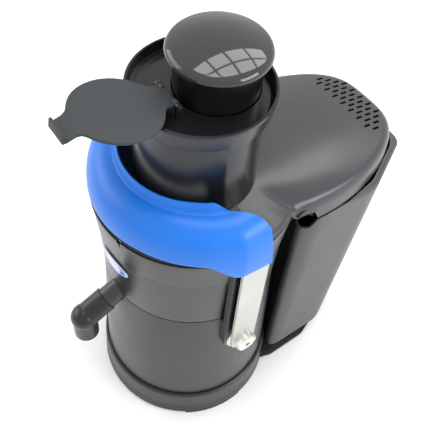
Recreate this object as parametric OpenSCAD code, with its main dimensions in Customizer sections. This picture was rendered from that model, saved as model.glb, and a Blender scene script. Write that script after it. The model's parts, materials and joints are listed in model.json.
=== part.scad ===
// Commercial centrifugal juicer: motor base, bowl, feed chute, bail hood and pulp bin.
// Millimetres. +Z is up and -Y is the front, where the juice leaves. The origin is under
// the middle of the footprint, and the drive axis stands in front of it.

/* [Base] */
// Height of the rubber feet
foot_h = 5; // [4:0.5:8]
// Outer radius of the base skirt
skirt_r = 104; // [100:0.5:108]
// Height of the base skirt
skirt_h = 43; // [36:1:46]

/* [Motor housing] */
// Outer radius of the housing above the skirt
housing_foot_r = 98.5; // [97:0.5:100]
// Outer radius of the housing at the bowl seam
seam_r = 93; // [92:0.5:94]
// Height of the seam between housing and bowl
seam_z = 217; // [214:1:219]
// Wall of the plastic shells
wall = 3; // [2.5:0.1:3.5]

/* [Bowl] */
// Outer radius of the bowl rim
rim_r = 101; // [100:0.5:102]
// Height of the bowl rim
rim_z = 332; // [330:1:334]
// Height of the crease below the rim
crease_z = 290; // [280:1:300]
// Outer radius at the crease
crease_r = 96.5; // [96:0.5:97]

/* [Spout] */
// Downward slope of the spout in degrees
spout_slope = 25; // [20:1:28]
// Height of the spout axis where it leaves the bowl wall
spout_root_z = 211; // [210:0.5:213]
// Outer radius of the fixed stub
stub_r = 12; // [11.5:0.1:12.5]
// Outer radius of the swivelling elbow
elbow_r = 13.5; // [13:0.1:14]
// Distance of the elbow's corner in front of the drive axis
spout_reach = 133; // [128:1:138]
// Length of the nozzle below the corner
nozzle_drop = 30; // [27:1:34]

/* [Bail] */
// Height of the bail pivot
pivot_z = 180; // [178:1:184]
// Distance of the bail pivot behind the drive axis
pivot_y = -3; // [-4:0.5:0]
// Distance of the inner face of each arm from the middle
arm_x = 104.5; // [104:0.1:105]
// Thickness of the arms
arm_t = 3; // [2:0.1:3]
// Width of the arms
arm_w = 30; // [26:1:32]
// Radius of the hood's upper edge
hood_in_r = 73; // [70:0.5:76]
// Height of the hood's upper edge
hood_in_z = 390; // [384:1:394]
// Radius of the hood's lower edge
hood_out_r = 102; // [101.5:0.5:103]
// Height of the hood's lower edge
hood_out_z = 341.5; // [340:0.5:343]
// Half width of the hood over the arms
lobe_x = 110.2; // [110:0.1:112]

/* [Feed] */
// Outer radius of the chute
chute_r = 57; // [55:0.5:58]
// Outer radius of the tray rim
tray_r = 65; // [63:0.5:67]
// Height of the tray rim
tray_z = 459; // [455:1:463]
// Inner radius of the feed tube
feed_r = 39.2; // [38:0.1:40]
// Distance of the feed tube behind the drive axis
feed_y = 18; // [15:0.5:18]
// Radius of the pusher barrel
pusher_r = 38.3; // [37:0.1:38.4]
// Radius of the pusher cap
cap_r = 45.2; // [44:0.1:46]
// Height of the cap's lower edge at rest
cap_z = 485; // [482:1:488]
// Radius of the cap's rounded edge
cap_edge = 3; // [2:0.5:5]
// Slope of the cap's dome beside the edge in degrees
cap_slope = 38; // [30:1:42]

/* [Feed lid] */
// Radius of the lid disc
lid_r = 38.6; // [38:0.1:39]
// Distance from the hinge pin to the lid's centre
lid_reach = 48.4; // [47:0.1:49]
// Distance of the hinge pin in front of the drive axis
hinge_reach = 31; // [31:0.1:32]
// Upward tilt of the open lid in degrees
lid_tilt = 9; // [8:0.5:12]

/* [Pulp bin] */
// Height of the bin floor
bin_z = 11; // [10.8:0.1:12]
// Height of the bin rim
bin_rim_z = 302; // [298:0.5:302]
// Half width of the bin at its rim
bin_half_w = 89; // [88:0.5:92]
// Distance of the bin's back behind the drive axis at the rim
bin_back = 243; // [240:1:246]
// Width of the bin's floor as a share of its rim
bin_narrow = 0.87; // [0.8:0.01:0.9]
// Depth of the bin's floor as a share of its rim
bin_short = 0.82; // [0.7:0.01:0.9]

/* [Pulp cover] */
// Height of the cover's lower edge over the bin
cover_edge_z = 305; // [304.5:0.5:308]
// Height of the cover's top at its back
cover_back_z = 328; // [324:1:332]
// Height of the cover's top at the chute
cover_front_z = 350; // [346:1:352]
// Length of one vent slot
vent_l = 9; // [7:0.5:9]
// Width of one vent slot
vent_w = 3; // [2.5:0.1:3.5]

/* [Motor] */
// Radius of the motor shaft
shaft_r = 7.5; // [7:0.5:7.5]
// Outer radius of the stator
stator_r = 62; // [58:1:64]
// Outer radius of the rotor
rotor_r = 35; // [33:0.5:35]

/* [Hidden] */
knuckle = 1;                            // the elbow's corner bulges this far past its tubes
smooth = 128;
medium = 64;
small = 32;
gap = 0.4;                              // between pieces that move past each other
run = 0.05;                             // radial running clearance of a shaft
base_z = foot_h;
skirt_top = base_z + skirt_h;
back_y = bin_back;
front_y = -(spout_reach + elbow_r + knuckle);
axis_y = -(back_y + front_y) / 2;       // the drive axis, seen from the footprint's middle
stub_start = 22;                        // stub length inside the bowl wall
stub_end = 14;                          // stub length outside the bowl wall
spigot_r = 10.5;
spout_bore_r = 9;
nozzle_bore_r = 11;
corner_t = (spout_reach - seam_r) / cos(spout_slope);
corner_z = spout_root_z - (spout_reach - seam_r) * tan(spout_slope);
ear_x = 101;                            // outer face of the housing's two ears
ear_w = 40;
ear_top = 320;
ear_slot_x = 94.3;                      // the bowl is notched round the ears from here out
washer_x = ear_x + gap;
bolt_r = 5;
lid_bottom = rim_z + gap;
seam_y = 7;                             // front edge of the pulp cover
deck_z = 200;                           // underside of the housing's top deck
disc_z = 286;                           // underside of the grating disc
tube_bottom = 293;
tray_floor = tray_z - 11;
tray_y = 2.3;
plate_x = 62;
tube_t = 2.4;                           // wall of the feed tube
hinge_z = tray_z + 1;
lid_t = 3;
stator_z = 78;
stator_h = 70;
rear_bearing_z = 52;
front_bearing_z = 166;
bearing_r = 17.5;
bearing_w = 11;
bell_t = 6;
hub_z = 240;
switch_z = 112;
rocker_pin_r = 2;
gland_z = 26;

// ---- shared helpers ----

module on_axis() translate([0, axis_y, 0]) children();

module turned(points, fn = smooth) rotate_extrude($fn = fn) polygon(points);

module ring(r_out, r_in, z0, z1, fn = smooth) {
    difference() {
        translate([0, 0, z0]) cylinder(h = z1 - z0, r = r_out, $fn = fn);
        translate([0, 0, z0 - 1]) cylinder(h = z1 - z0 + 2, r = r_in, $fn = fn);
    }
}

module rod_x(r, x0, x1, fn = medium) {
    translate([x0, 0, 0]) rotate([0, 90, 0]) cylinder(h = x1 - x0, r = r, $fn = fn);
}

module rod_y(r, half_l) {
    rotate([90, 0, 0]) cylinder(h = 2 * half_l, r = r, center = true, $fn = small);
}

module at_pivot() translate([0, pivot_y, pivot_z]) children();

module both_sides() {
    children();
    mirror([1, 0, 0]) children();
}

module round_array(count, radius, start = 0) {
    for (i = [0 : count - 1])
        rotate([0, 0, start + i * 360 / count]) translate([radius, 0, 0]) children();
}

// A screw with a domed round head, its tip down and its head's underside at the origin
module round_screw(length, shank_r, head_r, head_h) {
    difference() {
        union() {
            translate([0, 0, -length]) cylinder(h = length, r = shank_r, $fn = small);
            cylinder(h = head_h, r = head_r, $fn = small);
        }
        translate([0, 0, head_h - 1]) cylinder(h = 2, r = head_r * 0.45, $fn = 6);
    }
}

// Places children on the spout's axis: +Z points out of the bowl, down the slope
module along_spout() {
    translate([0, -seam_r, spout_root_z]) rotate([90 + spout_slope, 0, 0]) children();
}

// ---- base ----

screw_ring_r = 86;
screw_count = 4;
pad_in_r = 84;
pad_front = -56;
pad_back = 14;
rear_foot_r = 9;
rear_foot_x = 34;
rear_foot_y = 186;
tongue_z = 2.5;
flare = 1.4;                            // the skirt's lower band stands out this far
band_h = 14;

module base_skirt() {
    color("#35383a") on_axis() difference() {
        turned([
            [skirt_r - wall, base_z], [skirt_r, base_z], [skirt_r - flare, base_z + band_h],
            [skirt_r - flare - 0.2, skirt_top - 4], [skirt_r - 2.2, skirt_top - 1.4],
            [skirt_r - 3.8, skirt_top], [housing_foot_r - 5, skirt_top],
            [housing_foot_r - 5, skirt_top - wall], [skirt_r - wall - 1.8, skirt_top - wall - 2],
            [skirt_r - wall - flare, base_z + band_h]
        ]);
        translate([0, 0, gland_z]) rod_x(8, -skirt_r - 2, -skirt_r + 12);
    }
}

module base_plate() {
    plate_r = skirt_r - wall - 0.6;
    color("#2e3032") on_axis() difference() {
        translate([0, 0, base_z]) cylinder(h = wall, r = plate_r, $fn = smooth);
        for (i = [0 : 3], side = [-1, 1])
            translate([side * (18 + 12 * i) - 2, -30, base_z - 1]) cube([4, 60, wall + 2]);
        round_array(screw_count, screw_ring_r, 45)
            translate([0, 0, base_z - 1]) cylinder(h = wall + 2, r = 2.1, $fn = small);
        for (x = [-20, 20])
            translate([x, 84, base_z - 1]) cylinder(h = wall + 2, r = 1.85, $fn = small);
    }
}

module base_plate_screws() {
    color("silver") on_axis() round_array(screw_count, screw_ring_r, 45)
        translate([0, 0, base_z]) mirror([0, 0, 1]) round_screw(9, 2, 3.6, 1.6);
}

module rubber_feet() {
    color("#1d1d1e") on_axis() {
        both_sides() intersection() {
            ring(skirt_r - 0.3, pad_in_r, 0, foot_h);
            translate([50, pad_front, -1]) cube([60, pad_back - pad_front, foot_h + 2]);
        }
        for (side = [-1, 1])
            translate([side * rear_foot_x, rear_foot_y, 0])
                cylinder(h = tongue_z, r1 = rear_foot_r - 1, r2 = rear_foot_r, $fn = medium);
    }
}

module plate_outline(inset) {
    hull() for (side = [-1, 1]) {
        translate([side * (plate_x + 14), 62]) circle(r = 5 - inset, $fn = small);
        translate([side * plate_x, 84]) circle(r = 23 - inset, $fn = medium);
        translate([side * (plate_x - 6), 128]) circle(r = 28.5 - inset, $fn = medium);
        translate([side * 32, 190]) circle(r = 29 - inset, $fn = medium);
    }
}

module bin_support_plate() {
    color("#2f3234") on_axis() difference() {
        union() {
            translate([0, 0, tongue_z]) linear_extrude(6 - tongue_z) plate_outline(0);
            linear_extrude(8) plate_outline(1.5);
            linear_extrude(bin_z - 0.3) plate_outline(4);
        }
        translate([0, 0, -1]) linear_extrude(tongue_z + 1) plate_outline(-5);
        translate([0, 0, base_z]) cylinder(h = 20, r = skirt_r + 0.2, $fn = smooth);
        translate([-100, -100, -1]) cube([200, 174, base_z + 1]);
        translate([-100, -100, -1]) cube([200, 158, 30]);
        for (x = [-20, 20])
            translate([x, 84, 0]) cylinder(h = 20, r = 1.85, $fn = small);
    }
}

module support_plate_screws() {
    color("silver") on_axis() for (x = [-20, 20])
        translate([x, 84, tongue_z]) mirror([0, 0, 1]) round_screw(6, 1.8, 3.4, 1.4);
}

module cord_gland() {
    color("#1f2021") on_axis() translate([0, 0, gland_z]) difference() {
        union() {
            rod_x(7.9, -skirt_r - 3, -skirt_r + 6);
            rod_x(11, -skirt_r - 9, -skirt_r + 0.8);
            rod_x(11, -skirt_r + 6, -skirt_r + 9);
        }
        rod_x(3.8, -skirt_r - 12, -skirt_r + 12);
    }
}

// ---- motor housing ----

module ear_slots(x0, half_w) {
    for (side = [-1, 1])
        translate([side > 0 ? x0 : -x0 - 40, pivot_y - half_w, seam_z - 40])
            cube([40, 2 * half_w, 240]);
}

module housing_ear() {
    translate([ear_x - 12, 0, 0]) rotate([90, 0, 90]) linear_extrude(12) {
        translate([pivot_y, pivot_z]) circle(r = ear_w / 2, $fn = smooth);
        translate([pivot_y - ear_w / 2, pivot_z]) square([ear_w, ear_top - pivot_z]);
    }
}

module motor_housing() {
    deck_t = 4;
    boss_r = 17;
    boss_top = 237;
    color("#4a4d4f") on_axis() difference() {
        union() {
            difference() {
                union() {
                    turned([
                        [0, skirt_top], [housing_foot_r - 1.4, skirt_top],
                        [housing_foot_r - 1.4, skirt_top + 1.6], [housing_foot_r, skirt_top + 2.4],
                        [seam_r, seam_z - 1.2], [seam_r - 0.8, seam_z - gap], [0, seam_z - gap]
                    ]);
                    both_sides() housing_ear();
                }
                turned([
                    [0, skirt_top - 1], [housing_foot_r - wall - 1, skirt_top - 1],
                    [seam_r - wall, deck_z], [0, deck_z]
                ]);
                translate([0, 0, deck_z + deck_t])
                    cylinder(h = 200, r = seam_r - wall, $fn = smooth);
                ear_trim();
            }
            ring(boss_r, bearing_r - 5, deck_z, boss_top);
        }
        translate([0, 0, deck_z - 1]) cylinder(h = 60, r = 11.5, $fn = smooth);
        translate([0, 0, boss_top - 7]) cylinder(h = 20, r = 14, $fn = smooth);
        along_spout() translate([0, 0, -40]) cylinder(h = 80, r = stub_r + 0.6, $fn = medium);
        translate([-stub_r + 0.6, -seam_r - 20, spout_root_z]) cube([2 * stub_r - 1.2, 40, 20]);
        at_pivot() rod_x(8, -ear_x - 2, ear_x + 2);
        translate([-housing_foot_r - 6, -13, switch_z - 18]) cube([14, 26, 36]);
    }
}

// Keeps the ears to their own thickness above the seam
module ear_trim() {
    translate([-ear_slot_x - gap / 2, -60, seam_z - 2 * gap])
        cube([2 * ear_slot_x + gap, 120, 200]);
}

// ---- motor ----

module stator_core() {
    color("#8c9196") on_axis() difference() {
        translate([0, 0, stator_z]) cylinder(h = stator_h, r = stator_r, $fn = smooth);
        translate([0, 0, stator_z - 1])
            cylinder(h = stator_h + 2, r = rotor_r + 0.8, $fn = smooth);
        round_array(4, stator_r + 1.5, 45)
            translate([0, 0, stator_z - 1]) cylinder(h = stator_h + 2, r = 3.2, $fn = small);
    }
}

module stator_windings() {
    color("#b0622e") on_axis() {
        ring(56, 39, stator_z - 13, stator_z);
        ring(56, 39, stator_z + stator_h, stator_z + stator_h + 13);
    }
}

module rotor_core() {
    color("#777c80") on_axis()
        ring(rotor_r, shaft_r, stator_z + 2, stator_z + stator_h - 2);
}

module motor_shaft() {
    color("#c9ccce") on_axis() {
        translate([0, 0, 20]) cylinder(h = disc_z - 20, r = shaft_r, $fn = medium);
        translate([0, 0, disc_z]) cylinder(h = 13, r = 6, $fn = medium);
    }
}

module bearing(z) {
    color("#aeb3b6") on_axis() ring(bearing_r, shaft_r + run, z, z + bearing_w, medium);
}

module lower_bearing() bearing(rear_bearing_z);

module upper_bearing() bearing(front_bearing_z);

// A plate that carries a bearing cup and the four tie bolts
module end_bell(z, r_out, cup_z0, cup_z1) {
    color("#a2a7aa") on_axis() difference() {
        union() {
            translate([0, 0, z]) cylinder(h = bell_t, r = r_out, $fn = smooth);
            translate([0, 0, cup_z0]) cylinder(h = cup_z1 - cup_z0, r = 23, $fn = smooth);
        }
        translate([0, 0, cup_z0 - 1])
            cylinder(h = cup_z1 - cup_z0 + 2, r = bearing_r, $fn = medium);
        round_array(4, stator_r + 1.5, 45)
            translate([0, 0, z - 1]) cylinder(h = bell_t + 2, r = 3, $fn = small);
        round_array(6, 34, 30)
            translate([0, 0, z - 1]) cylinder(h = bell_t + 2, r = 7, $fn = small);
    }
}

module lower_end_bell() {
    end_bell(rear_bearing_z + 2, 92, rear_bearing_z, rear_bearing_z + bearing_w);
}

module upper_end_bell() {
    end_bell(front_bearing_z, 74, front_bearing_z, front_bearing_z + bearing_w);
}

module motor_tie_bolts() {
    bolt_top = front_bearing_z + bell_t;
    bolt_bottom = rear_bearing_z + 2;
    color("#9a9fa3") on_axis() round_array(4, stator_r + 1.5, 45)
        translate([0, 0, bolt_top]) round_screw(bolt_top - bolt_bottom, 3, 5.5, 4);
}

module cooling_fan() {
    blades = 9;
    color("#303234") on_axis() {
        ring(14, shaft_r, 24, 44, medium);
        ring(46, 13, 42, 44);
        round_array(blades, 12)
            translate([0, 0, 26]) rotate([20, 0, 0]) cube([32, 2, 17]);
    }
}

module shaft_seal() {
    color("#222222") on_axis() ring(14, shaft_r + 0.6, 230, 237, medium);
}

// ---- electrical parts ----

module run_capacitor() {
    color("#d8d8d2") on_axis() translate([0, 78, 0]) {
        translate([0, 0, 66]) cylinder(h = 52, r = 13, $fn = medium);
        for (x = [-4, 4])
            translate([x - 0.4, -3, 118]) cube([0.8, 6, 8]);
    }
}

module terminal_block() {
    color("#e4e0d4") on_axis() difference() {
        translate([-88, -24, base_z + wall]) cube([14, 30, 12]);
        for (i = [0 : 2])
            translate([-81, -18 + 9 * i, base_z + wall + 6]) cylinder(h = 10, r = 2.4, $fn = small);
    }
}

module control_board() {
    color("#2f6b45") on_axis() {
        translate([-78, -28, 64]) cube([1.6, 56, 78]);
        translate([-76.4, -18, 74]) cube([8, 14, 20]);
        translate([-76.4, 6, 84]) cube([6, 12, 12]);
    }
}

module interlock_switch() {
    color("#1e1e20") on_axis() at_pivot() translate([-86, -10, -30]) {
        cube([10, 20, 12]);
        translate([3, 6, 12]) cube([4, 8, 3]);
    }
}

module interlock_cam() {
    color("#dedbd0") on_axis() at_pivot() difference() {
        union() {
            rod_x(9, -86, -80);
            translate([-86, -3, -13.5]) cube([6, 6, 10]);
        }
        rod_x(bolt_r, -90, -75);
    }
}

module switch_frame() {
    color("#26282a") on_axis() translate([0, 0, switch_z]) difference() {
        union() {
            translate([-housing_foot_r - 3, -15, -20]) cube([4.2, 30, 40]);
            translate([-housing_foot_r - 0.5, -12.8, -17.8]) cube([16, 25.6, 35.6]);
        }
        translate([-housing_foot_r - 4, -10.5, -15.5]) cube([14, 21, 31]);
        translate([-housing_foot_r + 4, 0, 0]) rod_y(rocker_pin_r + run, 14);
    }
}

module switch_rocker() {
    color("#3aa655") on_axis() translate([-housing_foot_r + 4, 0, switch_z]) rotate([0, 6, 0])
        {
            difference() {
                translate([-8, -10, -14.5]) cube([9, 20, 29]);
                translate([-28, 0, 0]) rotate([90, 0, 0])
                    cylinder(h = 30, r = 21.5, center = true, $fn = smooth);
            }
            rod_y(rocker_pin_r, 12.4);
        }
}

// ---- bail ----

module pivot_bushes() {
    color("#c2b280") on_axis() both_sides() at_pivot() difference() {
        rod_x(8, 88, ear_x);
        rod_x(bolt_r + run, 80, ear_x + 2);
    }
}

module pivot_washers() {
    color("#d5d8da") on_axis() both_sides() at_pivot() difference() {
        union() {
            rod_x(17.6, washer_x, washer_x + 1.2);
            rod_x(17, washer_x, arm_x, 6);
        }
        rod_x(bolt_r, washer_x - 1, arm_x + 1);
    }
}

module pivot_bolts() {
    head_x = arm_x + arm_t;
    head_r = 12;
    color("#dfe1e2") on_axis() both_sides() at_pivot() difference() {
        union() {
            rod_x(bolt_r, 76, head_x + 1);
            rod_x(head_r, head_x, head_x + 6.8);
            rod_x(head_r - 1.2, head_x, head_x + 8);
            rod_x(5.6, head_x, head_x + 8.6);
        }
        for (i = [0 : 5]) rotate([30 + i * 60, 0, 0])
            translate([head_x - 1, head_r + 2, 0]) rod_x(4.2, 0, 14, small);
        rod_x(3.4, head_x + 3, head_x + 12, 6);
    }
}

module bail_arm() {
    arm_top = 338;
    color("#e3e3de") on_axis() translate([arm_x, pivot_y, 0]) rotate([90, 0, 90]) difference() {
        linear_extrude(arm_t) {
            translate([0, pivot_z]) circle(r = arm_w / 2, $fn = smooth);
            translate([-arm_w / 2, pivot_z]) square([arm_w, arm_top - 12 - pivot_z]);
            translate([-arm_w / 2 + 4, arm_top - 12]) square([arm_w - 10, 8]);
        }
        translate([0, pivot_z, -1]) cylinder(h = arm_t + 2, r = bolt_r, $fn = medium);
        for (y = [-8, 7])
            translate([y, hood_screw_z, -1]) cylinder(h = arm_t + 2, r = 2.1, $fn = small);
    }
}

module bail_arm_right() bail_arm();

module bail_arm_left() mirror([1, 0, 0]) bail_arm();

hood_t = 2.2;
hood_screw_z = 324;
collar_r = hood_in_r + 2.5;             // foot of the raised lip
collar_h = 11;
lobe_start = -70;                       // the hood widens from here back to the arms
lobe_end = 6.2;                         // its last section behind the arms
cut_angle = -20;                        // the opening is cut back round the chute from here
cut_reach = 141;                        // middle of that round cut, from the drive axis
cut_r = 64.2;
opening_grow = 3.8;                     // the opening is this much wider at the cut
hood_sections = 60;
hood_steps = 10;

function ease(t) = let (k = min(1, max(0, t))) k * k * (3 - 2 * k);

// Hood shape at an angle p round the drive axis, 0 at the arms and -90 at the front
function edge_r(p) = p > -10 ? lobe_x / cos(p)
    : hood_out_r + (lobe_x / cos(10) - hood_out_r) * pow(max(0, (p - lobe_start) / 60), 1.8);
function edge_z(p) = hood_out_z - 20 * ease((p + 29) / 17) - 3.5 * ease((p + 12) / 18);
function opening_r(p) = p < cut_angle ? hood_in_r + opening_grow * ease((p + 60) / 40)
    : cut_reach * cos(p - cut_angle)
        - sqrt(pow(cut_r, 2) - pow(cut_reach * sin(p - cut_angle), 2));
function fullness(p) = 0.9 - 0.25 * ease((p + 40) / 30);
function lip(p) = ease((-10 - p) / 14);

// One section: its outer skin from the opening down to the edge, then its inner skin back up
function section_start(p) = let (
        reach = edge_r(p) - collar_r,
        share = max(0, (opening_r(p) - collar_r) / reach)
    ) asin(pow(share, 1 / fullness(p)));
function skin_point(p, a, inset) = let (f = fullness(p))
    [collar_r + (edge_r(p) - collar_r) * pow(sin(a), f) - inset * sin(a),
     edge_z(p) + (hood_in_z - collar_h - edge_z(p)) * pow(cos(a), f) - inset * cos(a)];
function section(p) = let (
        a0 = section_start(p),
        angles = [for (i = [0 : hood_steps]) a0 + (90 - a0) * i / hood_steps],
        foot = skin_point(p, a0, 0),
        top = foot + [-2.5, collar_h] * lip(p)
    ) concat(
        [top],
        [for (a = angles) skin_point(p, a, 0)],
        [for (i = [hood_steps : -1 : 0]) skin_point(p, angles[i], hood_t)],
        [top - [1.6, 0.8] * lip(p) - [0, 0.8 * (1 - lip(p))]]
    );

module bail_hood() {
    ring_n = 2 * hood_steps + 4;
    span = 90 + lobe_end;
    turns = [for (k = [0 : hood_sections]) -span + 2 * span * k / hood_sections];
    points = [for (turn = turns, q = section(abs(turn) - 90))
        [q[0] * sin(turn), -q[0] * cos(turn), q[1]]];
    last = hood_sections * ring_n;
    sides = [for (k = [0 : hood_sections - 1], i = [0 : ring_n - 1])
        let (j = (i + 1) % ring_n, b = k * ring_n)
            [b + i, b + j, b + ring_n + j, b + ring_n + i]];
    ends = [for (i = [0 : ring_n / 2 - 2], b = [0, last])
        let (q = [b + i, b + ring_n - 1 - i, b + ring_n - 2 - i, b + i + 1])
            b == 0 ? q : [q[3], q[2], q[1], q[0]]];
    color("#1f6df0") on_axis() polyhedron(points, concat(sides, ends));
}

module hood_screws() {
    color("silver") on_axis() both_sides() for (y = [-8, 7])
        translate([arm_x, pivot_y + y, hood_screw_z]) rotate([0, -90, 0])
            round_screw(arm_t + 0.4, 2, 3.5, 1.2);
}

// ---- bowl and spout ----

module bowl_outer() {
    turned([
        [0, seam_z], [seam_r - 0.8, seam_z], [seam_r, seam_z + 0.8], [crease_r - 0.6, crease_z - 1],
        [crease_r + 0.4, crease_z + 1.5], [rim_r - 0.6, rim_z - 4], [rim_r, rim_z - 3],
        [rim_r, rim_z], [0, rim_z]
    ]);
}

module bowl_inner() {
    turned([
        [0, seam_z + wall], [seam_r - wall - 4, seam_z + wall], [seam_r - wall, seam_z + wall + 5],
        [crease_r - wall, crease_z], [rim_r - wall, rim_z - 3], [rim_r - wall, rim_z + 1],
        [0, rim_z + 1]
    ]);
}

window_w = 108;
window_z = 302;
notch_angle = -76.6;                    // a draining nick in the bowl's rim, beside the front

module juice_bowl() {
    color("#474a4c") on_axis() difference() {
        union() {
            difference() {
                difference() {
                    bowl_outer();
                    ear_slots(ear_slot_x, ear_w / 2 + gap);
                }
                difference() {
                    bowl_inner();
                    ear_slots(ear_slot_x - wall, ear_w / 2 + gap + wall);
                }
            }
            ring(21, 18, seam_z, 254);
            along_spout() translate([0, 0, -stub_start])
                cylinder(h = stub_start + stub_end, r = stub_r, $fn = medium);
            along_spout() cylinder(h = stub_end + 15, r = spigot_r, $fn = medium);
            translate([-window_w / 2 + 2, 90, window_z - wall]) cube([window_w - 4, 27, wall]);
            ring(seam_r - wall - gap, seam_r - 2 * wall, seam_z - 4, seam_z + 1);
        }
        translate([0, 0, seam_z - 5]) cylinder(h = 20, r = 18, $fn = smooth);
        along_spout() translate([0, 0, -stub_start - 20])
            cylinder(h = 80, r = spout_bore_r, $fn = medium);
        along_spout() translate([0, 0, stub_end + 6]) ring(spigot_r + 1, spigot_r - 1.2, 0, 2.4);
        translate([-window_w / 2, 60, window_z]) cube([window_w, 60, 60]);
        translate([-13, -seam_r + wall, seam_z - 5]) cube([26, 12, 4.9]);
        rotate([0, 0, notch_angle]) translate([rim_r - 8, 0, rim_z]) rotate([90, 0, 90])
            linear_extrude(12) polygon([[-2.4, 1], [2.4, 1], [0.5, -9], [-0.5, -9]]);
    }
}

module bowl_gasket() {
    color("#b9b9b4") on_axis()
        ring(seam_r - 2 * wall, seam_r - 2 * wall - 4, seam_z - 4, seam_z);
}

module spout_o_ring() {
    color("#1b1b1b") on_axis() along_spout() translate([0, 0, stub_end + 6])
        ring(spigot_r - 0.02, spigot_r - 1.2, 0.2, 2.2, medium);
}

module spout_elbow() {
    socket_end = stub_end + 15.5;
    nozzle_z = corner_z - nozzle_drop;
    color("#3c3f41") on_axis() difference() {
        union() {
            along_spout() translate([0, 0, stub_end + gap])
                cylinder(h = corner_t - stub_end - gap, r = elbow_r, $fn = medium);
            translate([0, -spout_reach, corner_z]) sphere(r = elbow_r + knuckle, $fn = smooth);
            translate([0, -spout_reach, nozzle_z])
                cylinder(h = nozzle_drop, r = elbow_r - 0.3, $fn = medium);
        }
        along_spout() cylinder(h = socket_end, r = spigot_r + run, $fn = medium);
        along_spout() cylinder(h = corner_t, r = spout_bore_r, $fn = medium);
        translate([0, -spout_reach, corner_z])
            sphere(r = spout_bore_r + knuckle, $fn = medium);
        translate([0, -spout_reach, nozzle_z - 1])
            cylinder(h = nozzle_drop + 1, r = spout_bore_r + 0.3, $fn = medium);
        translate([0, -spout_reach, nozzle_z - 1])
            cylinder(h = nozzle_drop - 11, r = nozzle_bore_r, $fn = medium);
    }
}

// ---- rotating parts ----

module drive_hub() {
    color("#b9bdc0") on_axis() difference() {
        turned([
            [shaft_r, 262], [22.6, 262], [22.6, hub_z], [25.5, hub_z], [26.5, 268],
            [40, 276], [40, 280], [shaft_r, 280]
        ]);
        round_array(3, 32, 90) translate([0, 0, 270]) cylinder(h = 20, r = 3, $fn = small);
    }
}

basket_r = 56;
basket_top_r = 84;
basket_top_z = 318;

module strainer_basket() {
    slots = 30;
    color("#d2d5d6") on_axis() difference() {
        turned([
            [shaft_r, 280], [basket_r, 280], [basket_top_r, basket_top_z],
            [basket_top_r - 1.6, basket_top_z], [basket_r - 1.4, 282], [shaft_r, 282]
        ]);
        round_array(slots, 70) translate([-20, -1.2, 288]) cube([40, 2.4, 30]);
    }
}

module basket_rim() {
    color("#c4c7c9") on_axis() turned([
        [basket_top_r - 1.6, basket_top_z], [basket_top_r, basket_top_z],
        [basket_top_r + 0.6, basket_top_z - 3], [89.5, basket_top_z - 3], [90, basket_top_z + 3],
        [88, basket_top_z + 5], [basket_top_r - 1.6, basket_top_z + 3]
    ]);
}

module grating_disc() {
    color("#dcdedf") on_axis() ring(54, shaft_r, 282.02, disc_z);
}

module disc_teeth() {
    rings = 4;
    color("#e6e8e8") on_axis() for (k = [0 : rings - 1])
        round_array(8 + 5 * k, 19 + 10 * k, 9 * k)
            translate([-0.6, -2.2, disc_z]) cube([1.2, 4.4, 1.8]);
}

module basket_nut() {
    color("#9fa4a7") on_axis() difference() {
        union() {
            translate([0, 0, disc_z]) cylinder(h = 7, r = 13, $fn = 6);
            translate([0, 0, disc_z + 7]) cylinder(h = 7, r1 = 10, r2 = 7, $fn = medium);
        }
        translate([0, 0, disc_z - 1]) cylinder(h = 14.02, r = 6, $fn = medium);
    }
}

// ---- chute, feed lid and pusher ----

module hinge_bracket(x) {
    translate([x, -hinge_reach, 0]) {
        translate([0, -2.8, tray_floor - 1]) cube([3, 5.6, hinge_z - tray_floor + 1]);
        translate([0, 0, hinge_z]) rod_x(2.8, 0, 3, small);
    }
}

module chute_lid() {
    skin_top = cover_front_z;
    color("#55585a") on_axis() difference() {
        union() {
            difference() {
                turned([
                    [0, tube_bottom], [0.1, lid_bottom], [rim_r - 1.2, lid_bottom],
                    [rim_r - 1.2, lid_bottom + 2], [95, lid_bottom + 5],
                    [chute_r + 4, skin_top - 1], [chute_r + 1.5, skin_top + 1],
                    [chute_r, tray_floor - 12], [chute_r + 1, tray_floor - 8],
                    [chute_r + 1, tray_floor - 7], [0, tray_floor - 7]
                ]);
                turned([
                    [0, 0], [95, lid_bottom - 1], [94, lid_bottom + 2], [chute_r, skin_top - 4],
                    [chute_r - wall, skin_top], [chute_r - wall, tray_floor - 8],
                    [0, tray_floor - 8]
                ]);
                translate([-150, seam_y - gap / 2, 0]) cube([300, 200, skin_top + 1]);
            }
            translate([0, 0, skin_top - 2]) difference() {
                cylinder(h = tray_floor - skin_top - 6, r = chute_r, $fn = smooth);
                translate([0, 0, -1])
                    cylinder(h = tray_floor - skin_top, r = chute_r - wall, $fn = smooth);
            }
            translate([0, tray_y, 0]) turned([
                [0, tray_floor - 10], [chute_r - 1, tray_floor - 10], [tray_r - 2, tray_floor - 7],
                [tray_r, tray_z - 3], [tray_r, tray_z - 0.6], [tray_r - 0.8, tray_z],
                [tray_r - 2.4, tray_z], [tray_r - 4, tray_floor + 2.5], [tray_r - 6.5, tray_floor],
                [0, tray_floor]
            ]);
            translate([0, feed_y, 0])
                ring(feed_r + tube_t, feed_r - 1, tube_bottom, tray_floor - 1);
            for (x = [-17, 14]) hinge_bracket(x);
        }
        translate([0, feed_y, tube_bottom - 10])
            cylinder(h = 400, r = feed_r, $fn = smooth);
        translate([0, -hinge_reach, hinge_z]) rod_x(1.65, -30, 30, small);
    }
}

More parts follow.
